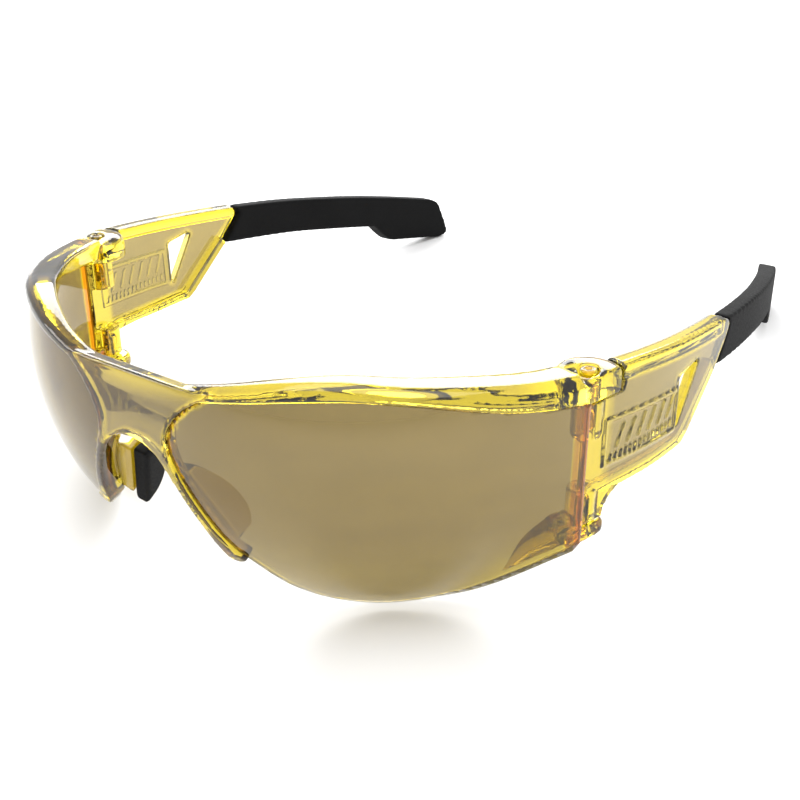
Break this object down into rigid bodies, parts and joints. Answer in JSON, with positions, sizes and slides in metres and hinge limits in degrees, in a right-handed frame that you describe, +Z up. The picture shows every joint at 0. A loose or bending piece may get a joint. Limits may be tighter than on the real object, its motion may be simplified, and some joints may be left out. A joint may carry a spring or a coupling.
{
  "type": "safety glasses",
  "caption": "half-rim wraparound safety glasses in transparent amber plastic with folding temples, soft black temple tips and nose pads, for eye protection",
  "frame": {"origin": "middle of the footprint on the surface that the glasses stand on, under the centre plane", "axes": "+X to the viewer's right from the front, +Y from the front towards the temple tips, +Z up; the glasses stand on the lens rims and the ends of the temple tips"},
  "size_m": [0.1436, 0.1704, 0.0518],
  "materials": {
    "frame_amber": "clear yellow-amber polycarbonate, polished",
    "lens_amber": "transparent amber-tinted polycarbonate, polished",
    "soft_black": "matte black soft elastomer",
    "pin_amber": "clear yellow-amber plastic"
  },
  "bodies": {
    "front": {"front_frame": "frame_amber", "lens_right": "lens_amber", "lens_left": "lens_amber", "nose_pad_right": "soft_black", "nose_pad_left": "soft_black", "upper_hinge_pin_right": "pin_amber", "upper_hinge_pin_left": "pin_amber", "lower_hinge_pin_right": "pin_amber", "lower_hinge_pin_left": "pin_amber"},
    "right_temple": {"temple_right": "frame_amber", "temple_tip_right": "soft_black"},
    "left_temple": {"temple_left": "frame_amber", "temple_tip_left": "soft_black"}
  },
  "joints": [
    {"name": "right_temple_hinge", "type": "hinge", "parent": "front", "child": "right_temple", "pos_m": [0.06495, -0.03815, 0.02747], "axis": [0, 0.1309, 0.9914], "range_deg": [0, 86]},
    {"name": "left_temple_hinge", "type": "hinge", "parent": "front", "child": "left_temple", "pos_m": [-0.06495, -0.03815, 0.02747], "axis": [0, 0.1309, 0.9914], "range_deg": [-80, 0]}
  ]
}
